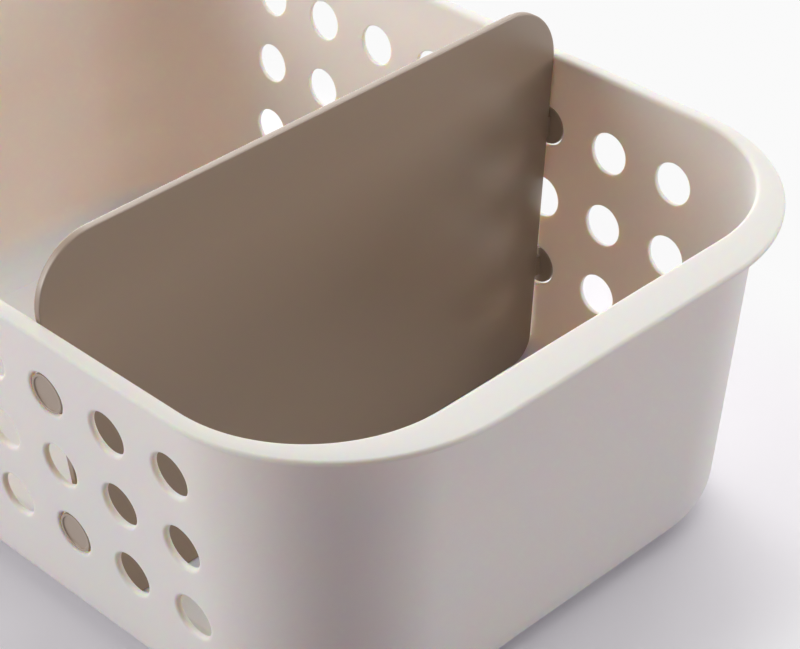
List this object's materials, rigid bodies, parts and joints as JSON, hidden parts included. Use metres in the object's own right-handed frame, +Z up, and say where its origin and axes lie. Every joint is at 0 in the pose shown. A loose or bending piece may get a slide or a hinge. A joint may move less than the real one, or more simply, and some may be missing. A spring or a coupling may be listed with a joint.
{
  "type": "storage basket",
  "caption": "Open moulded tub with rounded corners, wide end lips and round holes in its long walls, split by a flat lift-out divider held by snap studs.",
  "frame": {"origin": "on the table, under the middle of the tub", "axes": "+Z up, the tub's length along Y with the plain front end at -Y and the divider nearer to it, its width along X"},
  "size_m": [0.2462, 0.3654, 0.154],
  "materials": {
    "tub_plastic": "warm off-white, satin, very fine moulded grain",
    "divider_plastic": "stone taupe, satin, very fine moulded grain"
  },
  "bodies": {
    "tub": {"basket_tub": "tub_plastic"},
    "divider": {"divider_panel": "divider_plastic", "stud_left_upper": "divider_plastic", "stud_left_lower": "divider_plastic", "stud_right_upper": "divider_plastic", "stud_right_lower": "divider_plastic"}
  },
  "joints": [
    {"name": "divider_lift", "type": "slide", "parent": "tub", "child": "divider", "axis": [0, 0, 1], "range_m": [0, 0.14], "deforming": ["stud_left_upper", "stud_left_lower", "stud_right_upper", "stud_right_lower"]}
  ]
}
